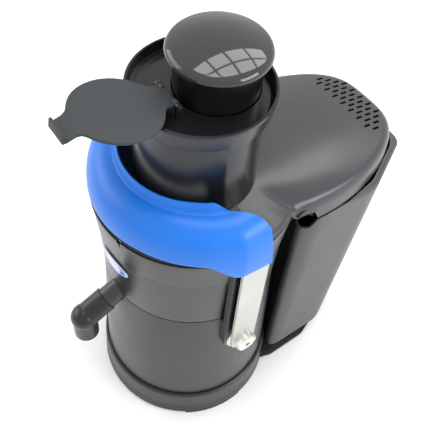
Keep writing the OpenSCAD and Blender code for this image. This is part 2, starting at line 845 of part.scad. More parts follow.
// Built shut-flat about the hinge pin, then tilted to where its stop holds it open
module feed_lid() {
    tab_w = 25;
    tab_l = 13;
    tip = -lid_reach - lid_r - tab_l;
    low = -lid_t / 2;
    knuckle_w = 27.2;
    color("#4c4f52") on_axis() translate([0, -hinge_reach, hinge_z]) rotate([-lid_tilt, 0, 0])
        difference() {
            union() {
                translate([0, -lid_reach, low]) cylinder(h = lid_t, r = lid_r, $fn = smooth);
                translate([-tab_w / 2, tip, low]) cube([tab_w, tab_l + 8, lid_t]);
                translate([-tab_w / 2, tip, low]) cube([tab_w, 2.5, 9]);
                translate([-knuckle_w / 2, -14, low]) cube([knuckle_w, 14, lid_t]);
                rod_x(2.8, -knuckle_w / 2, knuckle_w / 2, small);
            }
            rod_x(1.65, -30, 30, small);
            translate([-8, -9, -5]) cube([16, 20, 10]);
        }
}

module lid_hinge_pin() {
    color("#c8cacc") on_axis() translate([0, -hinge_reach, hinge_z])
        rod_x(1.6, -18.5, 18.5, small);
}

barrel_bottom = 346;

module pusher_barrel() {
    color("#3f4244") on_axis() translate([0, feed_y, 0]) turned([
        [0, barrel_bottom], [pusher_r - 2, barrel_bottom], [pusher_r, barrel_bottom + 2],
        [pusher_r, cap_z + 2], [pusher_r - 2.5, cap_z + 2], [pusher_r - 2.5, barrel_bottom + 3],
        [0, barrel_bottom + 3]
    ]);
}

// Round edge, then a shallow dome that is part of one sphere
module pusher_cap() {
    steps = 8;
    edge_turn = 90 - cap_slope;
    join_r = cap_r - cap_edge * (1 - cos(edge_turn));
    join_z = cap_z + 0.6 + cap_edge * sin(edge_turn);
    sphere_r = join_r / sin(cap_slope);
    color("#2b2d30") on_axis() translate([0, feed_y, 0]) turned(concat(
        [[0, cap_z + 5], [pusher_r - 2.6, cap_z + 5], [pusher_r - 2.6, cap_z + 2.02],
         [pusher_r + 0.1, cap_z + 2.02], [pusher_r + 0.1, cap_z], [cap_r - 0.6, cap_z],
         [cap_r, cap_z + 0.6]],
        [for (i = [1 : 4]) let (a = edge_turn * i / 4)
            [cap_r - cap_edge * (1 - cos(a)), cap_z + 0.6 + cap_edge * sin(a)]],
        [for (i = [steps - 1 : -1 : 0]) let (a = cap_slope * i / steps)
            [sphere_r * sin(a), join_z + sphere_r * (cos(a) - cos(cap_slope))]]
    ));
}

// ---- pulp cover and bin ----

// Plan of the pulp bin's rim, drawn in by the inset
module rim_plan(inset) {
    hull() for (s = [-1, 1]) {
        translate([s * (bin_half_w - 44), bin_back - 81]) circle(r = 44 - inset, $fn = 48);
        translate([s * (bin_half_w - 45), bin_back - 14]) circle(r = 14 - inset, $fn = small);
        translate([s * (bin_half_w - 18), 72]) circle(r = 18 - inset, $fn = small);
    }
}

// Plan of the cover's wall, rounder at the back than the bin
module cover_plan(inset) {
    hull() for (s = [-1, 1]) {
        translate([s * 46, 120]) circle(r = 42.5 - inset, $fn = 48);
        translate([s * 44, 160]) circle(r = 37.5 - inset, $fn = 48);
        translate([s * 28, 204]) circle(r = 31.5 - inset, $fn = 48);
        translate([s * 72, 72]) circle(r = 15 - inset, $fn = small);
    }
}

// The bin's rim plan scaled for a height: k runs from 0 at the floor to 1 at the rim
module bin_plan(k, inset) {
    plan_front = 54;
    x_share = bin_narrow + (1 - bin_narrow) * k;
    y_share = bin_short + (1 - bin_short) * k;
    translate([0, plan_front + 13 * (1 - k)]) scale([x_share, y_share])
        translate([0, -plan_front]) rim_plan(inset);
}

module bin_block(z0, z1, inset) {
    hull() {
        translate([0, 0, z0]) linear_extrude(0.1) bin_plan(0, inset + 4);
        translate([0, 0, z0 + 4]) linear_extrude(0.1) bin_plan(0.02, inset);
        translate([0, 0, z1 - 0.1]) linear_extrude(0.1) bin_plan(1, inset);
    }
}

module pulp_bin() {
    bin_wall = 2.5;
    mouth_r = skirt_r + 1.6;
    rim_front = window_z - wall - 2.5;
    color("#3a3d3f") on_axis() difference() {
        bin_block(bin_z, bin_rim_z, 0);
        difference() {
            bin_block(bin_z + bin_wall, bin_rim_z + 1, bin_wall);
            translate([0, 0, -1]) cylinder(h = 400, r = mouth_r + bin_wall, $fn = smooth);
        }
        translate([0, 0, -1]) cylinder(h = 400, r = mouth_r, $fn = smooth);
        translate([-window_w / 2 - 3, 40, rim_front]) cube([window_w + 6, 84, 40]);
    }
}

module cover_body(inset) {
    hull() {
        translate([0, 0, lid_bottom - inset])
            cylinder(h = 2, r = rim_r - 1.2 - inset, $fn = medium);
        translate([0, 0, cover_front_z - 1 - inset])
            cylinder(h = 1, r = chute_r + 6 - inset, $fn = medium);
        translate([0, 0, cover_edge_z - inset]) linear_extrude(6) cover_plan(inset);
        translate([0, 0, cover_back_z - 9 - inset]) linear_extrude(1) cover_plan(1 + inset);
        translate([0, 0, cover_back_z - 4 - inset]) linear_extrude(1) cover_plan(5 + inset);
        translate([0, 150, cover_back_z + 4 - inset]) cylinder(h = 2, r = 60, $fn = medium);
    }
}

module vent_slot() {
    translate([-vent_w / 2, -vent_l / 2 + vent_w / 2, 290])
        cube([vent_w, vent_l - vent_w, 60]);
    for (s = [-1, 1])
        translate([0, s * (vent_l - vent_w) / 2, 290]) cylinder(h = 60, r = vent_w / 2, $fn = 16);
}

module cover_vents() {
    pitch_x = 12.8;
    pitch_y = 6.6;
    first_row_y = 220.5;
    counts = [5, 6, 7, 8, 7];
    for (row = [0 : len(counts) - 1], i = [0 : counts[row] - 1])
        translate([(i - (counts[row] - 1) / 2) * pitch_x, first_row_y - row * pitch_y, 0])
            vent_slot();
}

module pulp_cover() {
    notch_r = 14;
    color("#505355") on_axis() difference() {
        cover_body(0);
        cover_body(wall);
        translate([0, 0, cover_edge_z - 10]) linear_extrude(10 + wall) cover_plan(wall);
        translate([0, 0, 200]) cylinder(h = 200, r = chute_r + 2, $fn = smooth);
        translate([0, feed_y, 200]) cylinder(h = 200, r = feed_r + tube_t + gap, $fn = smooth);
        translate([-200, -200 + seam_y + gap / 2, 200]) cube([400, 200, 200]);
        translate([0, 0, 200]) cylinder(h = lid_bottom - 200, r = rim_r + 0.6, $fn = smooth);
        translate([0, 74, cover_edge_z - 2]) rod_x(notch_r, -120, 120);
        cover_vents();
    }
}

module front_badge() {
    badge_z = 274;
    color("#d9dce2") on_axis() intersection() {
        difference() {
            turned([
                [0, seam_z], [seam_r + 1.2, seam_z], [crease_r + 1.2, crease_z], [0, crease_z]
            ]);
            turned([
                [0, seam_z - 1], [seam_r + 0.02, seam_z - 1], [crease_r + 0.02, crease_z],
                [0, crease_z + 1]
            ]);
        }
        translate([0, 0, badge_z]) rotate([90, 0, 0]) badge_face();
    }
}

module badge_face() {
    badge_w = 54;
    badge_h = 18;
    linear_extrude(120) {
        square([badge_w - badge_h, badge_h], center = true);
        for (s = [-1, 1])
            translate([s * (badge_w - badge_h) / 2, 0]) circle(r = badge_h / 2, $fn = medium);
    }
}

base_skirt();
base_plate();
base_plate_screws();
rubber_feet();
bin_support_plate();
support_plate_screws();
cord_gland();
motor_housing();
stator_core();
stator_windings();
rotor_core();
motor_shaft();
lower_bearing();
upper_bearing();
lower_end_bell();
upper_end_bell();
motor_tie_bolts();
cooling_fan();
shaft_seal();
run_capacitor();
terminal_block();
control_board();
interlock_switch();
interlock_cam();
switch_frame();
switch_rocker();
pivot_bushes();
pivot_washers();
pivot_bolts();
bail_arm_right();
bail_arm_left();
bail_hood();
hood_screws();
juice_bowl();
bowl_gasket();
spout_o_ring();
spout_elbow();
drive_hub();
strainer_basket();
basket_rim();
grating_disc();
disc_teeth();
basket_nut();
chute_lid();
feed_lid();
lid_hinge_pin();
pusher_barrel();
pusher_cap();
pulp_cover();
pulp_bin();
front_badge();
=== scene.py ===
"""Looks for the centrifugal juicer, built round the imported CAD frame. Lengths here are in millimetres from
the drive axis and the bench, and place() turns them into metres in the row's frame."""

import json
import math

import bmesh
import bpy
from mathutils import Matrix, Vector


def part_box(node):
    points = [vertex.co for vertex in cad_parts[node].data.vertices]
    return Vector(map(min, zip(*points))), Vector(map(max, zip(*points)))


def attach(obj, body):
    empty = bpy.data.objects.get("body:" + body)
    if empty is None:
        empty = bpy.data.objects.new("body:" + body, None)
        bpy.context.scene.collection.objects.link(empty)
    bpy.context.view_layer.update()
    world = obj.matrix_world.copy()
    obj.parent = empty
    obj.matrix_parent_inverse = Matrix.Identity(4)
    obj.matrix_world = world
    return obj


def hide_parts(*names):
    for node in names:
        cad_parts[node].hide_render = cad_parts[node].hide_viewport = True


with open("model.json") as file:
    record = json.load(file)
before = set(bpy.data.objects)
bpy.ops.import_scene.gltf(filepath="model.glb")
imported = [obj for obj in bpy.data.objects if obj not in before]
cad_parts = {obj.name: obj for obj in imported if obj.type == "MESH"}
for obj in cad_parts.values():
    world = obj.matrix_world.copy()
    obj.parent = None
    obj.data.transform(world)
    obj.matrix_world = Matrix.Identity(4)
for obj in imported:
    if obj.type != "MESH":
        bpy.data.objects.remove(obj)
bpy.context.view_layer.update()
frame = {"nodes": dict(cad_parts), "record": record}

MM = 0.001
MERGE_M = 1e-7
TINY = 1e-9
WALL = 2.4


def span(node, axis):
    """Where a CAD node starts and ends along an axis, in millimetres."""
    low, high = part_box(node)
    return low[axis] / MM, high[axis] / MM


AXIS_Y = sum(span("grating_disc", 1)) / 2


def place(x, y, z):
    """A point given from the drive axis, in the row's frame."""
    return Vector((x, y + AXIS_Y, z)) * MM


# ---- sizes taken from the frame ----

CAP_LOW = span("pusher_cap", 2)[0]
CAP_R = span("pusher_cap", 0)[1]
FEED_Y = sum(span("pusher_cap", 1)) / 2 - AXIS_Y
BARREL_R = span("pusher_barrel", 0)[1]
HOOD_X = span("bail_hood", 0)[1]
HOOD_TOP = span("bail_hood", 2)[1]
BIN_LOW, BIN_RIM = span("pulp_bin", 2)
BIN_X = span("pulp_bin", 0)[1]
BIN_BACK = span("pulp_bin", 1)[1] - AXIS_Y
SKIRT_R = span("base_skirt", 0)[1]
SEAM_Z = span("juice_bowl", 2)[0]
PIN_Y = sum(span("lid_hinge_pin", 1)) / 2 - AXIS_Y
PIN_Z = sum(span("lid_hinge_pin", 2)) / 2
BADGE_X = span("front_badge", 0)[1]
BADGE_LOW, BADGE_HIGH = span("front_badge", 2)


# ---- shaping helpers ----

def ease(t):
    """Smooth step from 0 to 1, flat at both ends."""
    t = min(1.0, max(0.0, t))
    return t * t * (3 - 2 * t)


def mix(a, b, t):
    return a + (b - a) * t


def sind(a):
    return math.sin(math.radians(a))


def cosd(a):
    return math.cos(math.radians(a))


def soften(points, cuts, steps=3):
    """Rounds each corner of a closed outline by cutting it back that far on both sides."""
    count = len(points)
    out = []
    for i, p in enumerate(points):
        before, after = points[i - 1], points[(i + 1) % count]
        cut = cuts[i] if isinstance(cuts, (list, tuple)) else cuts
        to_before = [before[k] - p[k] for k in range(2)]
        to_after = [after[k] - p[k] for k in range(2)]
        len_before, len_after = math.hypot(*to_before), math.hypot(*to_after)
        cut_before, cut_after = min(cut, 0.45 * len_before), min(cut, 0.45 * len_after)
        start = [p[k] + to_before[k] / max(len_before, TINY) * cut_before for k in range(2)]
        end = [p[k] + to_after[k] / max(len_after, TINY) * cut_after for k in range(2)]
        for s in range(steps + 1):
            t = s / steps
            out.append(tuple((1 - t) ** 2 * start[k] + 2 * t * (1 - t) * p[k] + t * t * end[k]
                             for k in range(2)))
    return out


def finish_mesh(mesh, sharp_angle=40, closed=True):
    made = bmesh.new()
    made.from_mesh(mesh)
    bmesh.ops.remove_doubles(made, verts=made.verts, dist=MERGE_M)
    bmesh.ops.dissolve_degenerate(made, edges=made.edges, dist=MERGE_M)
    if closed:
        bmesh.ops.recalc_face_normals(made, faces=made.faces)
    made.to_mesh(mesh)
    made.free()
    mesh.polygons.foreach_set("use_smooth", [True] * len(mesh.polygons))
    mesh.set_sharp_from_angle(angle=math.radians(sharp_angle))


def add_piece(name, points, faces, body, material, replaced=(), sharp_angle=40,
              closed=True):
    """A new piece from points in metres. It rides on a body and takes the finish it is given."""
    mesh = bpy.data.meshes.new(name)
    mesh.from_pydata([tuple(p) for p in points], [], faces)
    finish_mesh(mesh, sharp_angle, closed)
    piece = bpy.data.objects.new(name, mesh)
    bpy.context.scene.collection.objects.link(piece)
    mesh.materials.append(material)
    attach(piece, body)
    if replaced:
        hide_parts(*replaced)
    return piece


def ring_faces(rings, count):
    """Quads between consecutive rings of count points each."""
    faces = []
    for k in range(rings - 1):
        low, high = k * count, (k + 1) * count
        for i in range(count):
            j = (i + 1) % count
            faces.append((low + i, low + j, high + j, high + i))
    return faces


def apply_modifiers(piece, sharp_angle=40):
    graph = bpy.context.evaluated_depsgraph_get()
    mesh = bpy.data.meshes.new_from_object(piece.evaluated_get(graph))
    piece.modifiers.clear()
    piece.data = mesh
    finish_mesh(mesh, sharp_angle)


def thicken(piece, thick, sharp_angle=40):
    """Gives an open skin, facing outwards, a wall on its inner side."""
    wall = piece.modifiers.new("wall", "SOLIDIFY")
    wall.thickness = thick * MM
    wall.offset = -1
    wall.use_even_offset = False
    apply_modifiers(piece, sharp_angle)


# ---- materials ----

COAT_ROUGH = 0.1
DUST_COLOUR = (0.35, 0.34, 0.32, 1)
PIT_STRENGTH = 0.6


def noise(tree, where, scale, detail):
    """A noise texture in the piece's own coordinates, its scale per metre."""
    made = tree.nodes.new("ShaderNodeTexNoise")
    made.inputs["Scale"].default_value = scale
    made.inputs["Detail"].default_value = detail
    tree.links.new(where.outputs["Object"], made.inputs["Vector"])
    return made


def ramp_between(tree, low, low_colour, high, high_colour):
    made = tree.nodes.new("ShaderNodeValToRGB")
    made.color_ramp.elements[0].position = low
    made.color_ramp.elements[1].position = high
    made.color_ramp.elements[0].color = low_colour
    made.color_ramp.elements[1].color = high_colour
    return made


def mixed(tree, paint, factor, colour):
    """Paint with a second colour laid over it by a factor."""
    made = tree.nodes.new("ShaderNodeMix")
    made.data_type = "RGBA"
    made.inputs["B"].default_value = colour
    tree.links.new(factor, made.inputs["Factor"])
    tree.links.new(paint, made.inputs["A"])
    return made.outputs["Result"]


def patchy(tree, where, colour, spread, patch):
    """Colour that drifts by a share either way, in patches of that many millimetres."""
    patches = noise(tree, where, 1000 / patch, 5)
    darker = [c * (1 - spread) for c in colour] + [1]
    lighter = [min(1, c * (1 + spread)) for c in colour] + [1]
    ramp = ramp_between(tree, 0.3, darker, 0.7, lighter)
    tree.links.new(patches.outputs["Fac"], ramp.inputs["Fac"])
    return ramp.outputs["Color"]


def worn(tree, paint, colour, wear):
    """Paint made paler on the outward edges."""
    bends = tree.nodes.new("ShaderNodeNewGeometry")
    edge = ramp_between(tree, 0.56, (0, 0, 0, 1), 0.68, (wear, wear, wear, 1))
    tree.links.new(bends.outputs["Pointiness"], edge.inputs["Fac"])
    pale = [min(1, c * 2.2 + 0.04) for c in colour] + [1]
    return mixed(tree, paint, edge.outputs["Color"], pale)


def dusted(tree, paint, dust):
    """Paint with dust on the faces that look up."""
    facing = tree.nodes.new("ShaderNodeNewGeometry")
    split = tree.nodes.new("ShaderNodeSeparateXYZ")
    tree.links.new(facing.outputs["Normal"], split.inputs["Vector"])
    settle = tree.nodes.new("ShaderNodeMapRange")
    settle.inputs["From Min"].default_value = 0.4
    settle.inputs["To Max"].default_value = dust
    tree.links.new(split.outputs["Z"], settle.inputs["Value"])
    return mixed(tree, paint, settle.outputs["Result"], DUST_COLOUR)


def smear(tree, where, shader, rough, spread, patch):
    """Roughness that drifts by spread either way."""
    smears = noise(tree, where, 1000 / (patch * 0.6), 3)
    level = tree.nodes.new("ShaderNodeMapRange")
    level.inputs["To Min"].default_value = max(0.02, rough - spread)
    level.inputs["To Max"].default_value = min(1, rough + spread)
    tree.links.new(smears.outputs["Fac"], level.inputs["Value"])
    tree.links.new(level.outputs["Result"], shader.inputs["Roughness"])


def pitted(tree, where, shader, grain, grain_size):
    """Fine moulded grain: pits of a depth and a size in millimetres."""
    pits = noise(tree, where, 1000 / grain_size, 2)
    bump = tree.nodes.new("ShaderNodeBump")
    bump.inputs["Strength"].default_value = PIT_STRENGTH
    bump.inputs["Distance"].default_value = grain * MM
    tree.links.new(pits.outputs["Fac"], bump.inputs["Height"])
    tree.links.new(bump.outputs["Normal"], shader.inputs["Normal"])


def material(name, colour, rough=0.5, metal=0.0, specular=0.5, coat=0.0, spread=0.12, patch=60.0,
             grain=0.0, grain_size=0.4, rough_spread=0.06, wear=0.0, dust=0.0):
    """A moulded or coated surface: patchy colour, uneven roughness, fine grain, edge wear and dust."""
    made = bpy.data.materials.new(name)
    made.use_nodes = True
    tree = made.node_tree
    shader = tree.nodes["Principled BSDF"]
    shader.inputs["Metallic"].default_value = metal
    shader.inputs["Specular IOR Level"].default_value = specular
    shader.inputs["Coat Weight"].default_value = coat
    shader.inputs["Coat Roughness"].default_value = COAT_ROUGH
    where = tree.nodes.new("ShaderNodeTexCoord")
    paint = patchy(tree, where, colour, spread, patch)
    if wear:
        paint = worn(tree, paint, colour, wear)
    if dust:
        paint = dusted(tree, paint, dust)
    tree.links.new(paint, shader.inputs["Base Color"])
    smear(tree, where, shader, rough, rough_spread, patch)
    if grain:
        pitted(tree, where, shader, grain, grain_size)
    return made


def brushed(name, colour, rough=0.32, stretch=(900, 60, 12), depth=0.02):
    """Metal brushed along one direction: stretched noise drives roughness and bump."""
    made = material(name, colour, rough, metal=1.0, spread=0.05)
    nodes, links = made.node_tree.nodes, made.node_tree.links
    shader = nodes["Principled BSDF"]
    where = nodes.new("ShaderNodeTexCoord")
    squeeze = nodes.new("ShaderNodeMapping")
    squeeze.inputs["Scale"].default_value = stretch
    links.new(where.outputs["Object"], squeeze.inputs["Vector"])
    streaks = nodes.new("ShaderNodeTexNoise")
    streaks.inputs["Scale"].default_value = 3
    streaks.inputs["Detail"].default_value = 6
    links.new(squeeze.outputs["Vector"], streaks.inputs["Vector"])
    level = nodes.new("ShaderNodeMapRange")
    level.inputs["To Min"].default_value = rough - 0.1
    level.inputs["To Max"].default_value = rough + 0.12
    links.new(streaks.outputs["Fac"], level.inputs["Value"])
    links.new(level.outputs["Result"], shader.inputs["Roughness"])
    bump = nodes.new("ShaderNodeBump")
    bump.inputs["Strength"].default_value = 0.5
    bump.inputs["Distance"].default_value = depth * MM
    links.new(streaks.outputs["Fac"], bump.inputs["Height"])
    links.new(bump.outputs["Normal"], shader.inputs["Normal"])
    return made


SHELL = material("charcoal_shell", (0.014, 0.0148, 0.0152), rough=0.3, specular=0.55, grain=0.006,
                 grain_size=0.5, wear=0.12, dust=0.015)
BLACK = material("satin_black", (0.016, 0.017, 0.0175), rough=0.36, grain=0.008, grain_size=0.5,
                 wear=0.12, dust=0.015)
PLATE = material("black_plate", (0.05, 0.052, 0.054), rough=0.45, grain=0.02, grain_size=0.6)
FLAP = material("matte_grey", (0.027, 0.03, 0.032), rough=0.6, specular=0.4, spread=0.04,
                grain=0.012, grain_size=0.35, wear=0.12)
GLOSS = material("gloss_black", (0.022, 0.0235, 0.025), rough=0.05, specular=0.55, spread=0.05,
                 rough_spread=0.02)
BARREL = material("barrel_black", (0.005, 0.0055, 0.006), rough=0.24, spread=0.08, grain=0.006,
                  grain_size=0.6)
BLUE = material("blue_hood", (0.002, 0.135, 0.56), rough=0.38, specular=0.42, spread=0.03,
                patch=120, grain=0.005, grain_size=0.6, rough_spread=0.03)
RUBBER = material("black_rubber", (0.012, 0.012, 0.013), rough=0.7, grain=0.03, grain_size=0.8,
                  dust=0.04)
SILICONE = material("grey_silicone", (0.42, 0.42, 0.40), rough=0.6, grain=0.01)
STEEL = brushed("plated_steel", (0.8, 0.79, 0.75), rough=0.36, stretch=(200, 200, 200))
ARM = brushed("arm_steel", (0.56, 0.55, 0.51), rough=0.45, stretch=(900, 500, 12))
LAMINATE = brushed("lamination_steel", (0.3, 0.31, 0.32), rough=0.45, stretch=(6, 6, 900))
ALLOY = material("cast_alloy", (0.55, 0.56, 0.57), rough=0.45, metal=1.0, grain=0.05,
                 grain_size=1.2)
BRONZE = material("bronze_bush", (0.5, 0.36, 0.17), rough=0.4, metal=1.0, grain=0.02)
IVORY = material("ivory_plastic", (0.62, 0.59, 0.5), rough=0.5, grain=0.01)
GREEN = material("green_plastic", (0.02, 0.34, 0.09), rough=0.22, coat=0.3, grain=0.004)
PALE = material("badge_face", (0.45, 0.47, 0.6), rough=0.3, coat=0.3, spread=0.03)

CHUTE = material("chute_shell", (0.007, 0.0077, 0.009), rough=0.2, specular=0.45, grain=0.004,
                 grain_size=0.5, wear=0.15)
SPOUT = material("spout_shell", (0.008, 0.009, 0.0092), rough=0.3, specular=0.4, grain=0.006,
                 grain_size=0.5, wear=0.15, dust=0.01)
SKIRT = material("skirt_shell", (0.012, 0.0128, 0.013), rough=0.36, specular=0.35, grain=0.006,
                 grain_size=0.5, wear=0.15, dust=0.015)
COVER = material("cover_shell", (0.027, 0.029, 0.0315), rough=0.3, specular=0.5, patch=90,
                 grain=0.006, grain_size=0.5, dust=0.015)
BIN = material("bin_shell", (0.036, 0.038, 0.0375), rough=0.4, specular=0.5, grain=0.008,
               grain_size=0.5, dust=0.015)


# Painted shade: the near-black laid on the housing's ears beside the arm.
EAR_PAINTED_SHADE = (0.003, 0.003, 0.0035, 1)


def paint_ear_shade(made):
    """Paints shade onto the housing's two upright ears above the pivots: they are made black there, as
    painted shade beside the arm.
    """
    nodes, links = made.node_tree.nodes, made.node_tree.links
    shader = nodes["Principled BSDF"]
    paint = shader.inputs["Base Color"].links[0].from_socket
    where = nodes.new("ShaderNodeTexCoord")
    split = nodes.new("ShaderNodeSeparateXYZ")
    links.new(where.outputs["Object"], split.inputs["Vector"])
    share = nodes.new("ShaderNodeMath")
    share.operation = "MULTIPLY"
    front, back = AXIS_Y - 24, AXIS_Y - 17
    foot, full = 168, 200
    for socket, axis, low, high in ((0, "Y", front, back), (1, "Z", foot, full)):
        step = nodes.new("ShaderNodeMapRange")
        step.inputs["From Min"].default_value = low * MM
        step.inputs["From Max"].default_value = high * MM
        links.new(split.outputs[axis], step.inputs["Value"])
        links.new(step.outputs["Result"], share.inputs[socket])
    # Painted shade on the ears, mixed over the housing's own colour.
    black = mixed(made.node_tree, paint, share.outputs["Value"], EAR_PAINTED_SHADE)
    links.new(black, shader.inputs["Base Color"])
    return made


# The housing's finish, with painted shade on its ears.
HOUSING = paint_ear_shade(material("housing_shell", (0.014, 0.0148, 0.0152), rough=0.3, specular=0.4,
                               grain=0.006, grain_size=0.5, wear=0.12, dust=0.015))


def copper():
    """Varnished wire laid in rings: a fine wave round the axis in the bump."""
    made = material("copper_winding", (0.5, 0.19, 0.07), rough=0.35, metal=0.8)
    nodes, links = made.node_tree.nodes, made.node_tree.links
    where = nodes.new("ShaderNodeTexCoord")
    wires = nodes.new("ShaderNodeTexWave")
    wires.bands_direction = "Z"
    wires.inputs["Scale"].default_value = 260
    wires.inputs["Distortion"].default_value = 2
    links.new(where.outputs["Object"], wires.inputs["Vector"])
    bump = nodes.new("ShaderNodeBump")
    bump.inputs["Distance"].default_value = 0.3 * MM
    links.new(wires.outputs["Fac"], bump.inputs["Height"])
    links.new(bump.outputs["Normal"], nodes["Principled BSDF"].inputs["Normal"])
    return made


def circuit_board():
    """Green board with a faint pattern of tracks."""
    made = material("board_green", (0.03, 0.16, 0.07), rough=0.35, coat=0.3)
    nodes, links = made.node_tree.nodes, made.node_tree.links
    where = nodes.new("ShaderNodeTexCoord")
    tracks = nodes.new("ShaderNodeTexBrick")
    tracks.inputs["Scale"].default_value = 160
    tracks.inputs["Color1"].default_value = (0.03, 0.16, 0.07, 1)
    tracks.inputs["Color2"].default_value = (0.025, 0.13, 0.06, 1)
    tracks.inputs["Mortar"].default_value = (0.10, 0.30, 0.14, 1)
    links.new(where.outputs["Object"], tracks.inputs["Vector"])
    links.new(tracks.outputs["Color"], nodes["Principled BSDF"].inputs["Base Color"])
    return made


BY_SLOT = {
    "charcoal_shell": SHELL, "satin_black": BLACK, "black_plate": PLATE, "matte_grey": FLAP,
    "gloss_black": GLOSS, "blue_hood": BLUE, "black_rubber": RUBBER, "grey_silicone": SILICONE,
    "plated_steel": STEEL, "arm_steel": ARM, "lamination_steel": LAMINATE, "cast_alloy": ALLOY,
    "copper_winding": copper(), "bronze_bush": BRONZE, "ivory_plastic": IVORY,
    "board_green": circuit_board(), "green_plastic": GREEN, "badge_face": PALE,
}


def dress(node_name, finish):
    """Gives a CAD node a finish."""
    node = frame["nodes"][node_name]
    for index in range(len(node.data.materials)):
        node.data.materials[index] = finish


for part in frame["record"]["subparts"]:
    dress(part["node"], BY_SLOT[part["material_slot"]])
dress("pusher_barrel", BARREL)
dress("motor_housing", HOUSING)
dress("chute_lid", CHUTE)
dress("spout_elbow", SPOUT)
dress("base_skirt", SKIRT)


# ---- blue hood ----

HOOD_FRONT_R = 102.0
HOOD_EDGE_Z = 341.5
OPENING_R = 73.0
LIP_H = 11.0
FOOT_R = OPENING_R + 2.5
LOBE_END = 6.2
LOBE_DROP, LOBE_SAG = 20.0, 3.5
FLAT_FROM, SWELL_FROM, SWELL_POWER = -10.0, -70.0, 1.8
FLARE, FLARE_FROM, NOTCH_FROM = 3.8, -60.0, -20.0
NOTCH_AT, NOTCH_R = 141.0, 64.2


def hood_edge_r(p):
    """Radius of the lower edge: straight beside the arms, easing to the round front."""
    if p > FLAT_FROM:
        return HOOD_X / cosd(p)
    share = max(0, (p - SWELL_FROM) / (FLAT_FROM - SWELL_FROM))
    return HOOD_FRONT_R + (HOOD_X / cosd(FLAT_FROM) - HOOD_FRONT_R) * share ** SWELL_POWER


def hood_edge_z(p):
    """Height of the lower edge, which drops into a lobe at each arm."""
    return HOOD_EDGE_Z - LOBE_DROP * ease((p + 29) / 17) - LOBE_SAG * ease((p + 12) / 18)


def hood_opening_r(p):
    """Radius of the opening, which turns outwards along a notch near the arms."""
    if p < NOTCH_FROM:
        return OPENING_R + FLARE * ease((p - FLARE_FROM) / (NOTCH_FROM - FLARE_FROM))
    turn = p - NOTCH_FROM
    return NOTCH_AT * cosd(turn) - math.sqrt(NOTCH_R ** 2 - (NOTCH_AT * sind(turn)) ** 2)


def hood_section(p, steps=22, thick=WALL):
    """Closed section of the hood at an angle p: 0 at the arms, -90 at the front."""
    edge_r, edge_z = hood_edge_r(p), hood_edge_z(p)
    full = 0.9 - 0.25 * ease((p + 40) / 30)
    lip = ease((-10 - p) / 14)
    share = max(0.0, (hood_opening_r(p) - FOOT_R) / (edge_r - FOOT_R))
    first = math.degrees(math.asin(min(1, share ** (1 / full))))

    def skin(a, inset):
        return (FOOT_R + (edge_r - FOOT_R) * sind(a) ** full - inset * sind(a),
                edge_z + (HOOD_TOP - LIP_H - edge_z) * max(0, cosd(a)) ** full - inset * cosd(a))

    angles = [mix(first, 90, i / steps) for i in range(steps + 1)]
    foot = skin(first, 0)
    top = (foot[0] - 2.5 * lip, foot[1] + LIP_H * lip)
    under_top = (top[0] - 1.8 * lip, top[1] - 0.8)
    outline = ([top] + [skin(a, 0) for a in angles]
               + [skin(a, thick) for a in reversed(angles)] + [under_top])
    cuts = [0.9] + [3.0 * lip + 0.3] + [0.4] * (steps - 1) + [1.0, 1.0] + [0.4] * steps + [0.7]
    return soften(outline, cuts, 2)


def make_hood():
    sections = 150
    reach = 90 + LOBE_END
    points = []
    for k in range(sections + 1):
        turn = mix(-reach, reach, k / sections)
        outline = hood_section(abs(turn) - 90)
        points += [place(r * sind(turn), -r * cosd(turn), z) for r, z in outline]
    count = len(outline)
    faces = ring_faces(sections + 1, count)
    last = sections * count
    for base in (0, last):
        for i in range(count // 2 - 1):
            faces.append((base + i, base + count - 1 - i, base + count - 2 - i, base + i + 1))
    return add_piece("blue_bail_hood", points, faces, "bail", BLUE, ["bail_hood"], 50)


make_hood()


# ---- pulp cover ----

CHUTE_R = 57.0
COVER_FRONT_Y = 7.4
COVER_RIM_R = 99.8
RIM_EDGE_Z = 332.6
BIN_EDGE_Z = 305.0
POCKET_Y = 68.0
POCKET_R = 20.0
POCKET_X, POCKET_DEEP = 86.0, 11.0
POCKET_TILT, POCKET_SWEEP = 8.0, 118.0
COVER_HIGH_Z = 350.0
SIDE_DROP, BACK_DROP = 12.5, 21.0
CROWN, FOLD = 3.5, 3.0
RIM_LEAVES_Y = 48.0
RIM_ROUND, BIN_ROUND = 4.0, 11.5
TOP_STEPS, BEND_STEPS, EDGE_STEPS = 26, 14, 8


def hull(points):
    """Convex hull of plan points, counter-clockwise."""
    points = sorted(set(points))

    def chain(run):
        out = []
        for p in run:
            while len(out) > 1 and ((out[-1][0] - out[-2][0]) * (p[1] - out[-2][1])
                                    - (out[-1][1] - out[-2][1]) * (p[0] - out[-2][0])) <= 0:
                out.pop()
            out.append(p)
        return out[:-1]

    return chain(points) + chain(points[::-1])


def disc(x, y, r, steps=120):
    return [(x + r * cosd(a * 360 / steps), y + r * sind(a * 360 / steps)) for a in range(steps)]


def plan_of(discs, inset):
    """Hull of discs (x, y, radius) and their mirror images, drawn in by inset."""
    points = []
    for x, y, r in discs:
        points += disc(x, y, r - inset) + disc(-x, y, r - inset)
    return hull(points)


COVER_DISCS = [(46, 120, 42.5), (44, 160, 37.5), (28, 204, 31.5), (72, 72, 15)]
BIN_DISCS = [(BIN_X - 44, BIN_BACK - 81, 44), (BIN_X - 45, BIN_BACK - 14, 14),
             (BIN_X - 40, 100, 40)]


def ray_reach(outline, a):
    """How far a ray from the drive axis runs before it leaves a convex outline."""
    dx, dy = cosd(a), sind(a)
    best = 0.0
    for i, (x0, y0) in enumerate(outline):
        x1, y1 = outline[(i + 1) % len(outline)]
        ex, ey = x1 - x0, y1 - y0
        across = dx * ey - dy * ex
        if abs(across) < 1e-12:
            continue
        t = (x0 * ey - y0 * ex) / across
        u = (x0 * dy - y0 * dx) / across
        if -1e-6 <= u <= 1 + 1e-6 and t > best:
            best = t
    return best


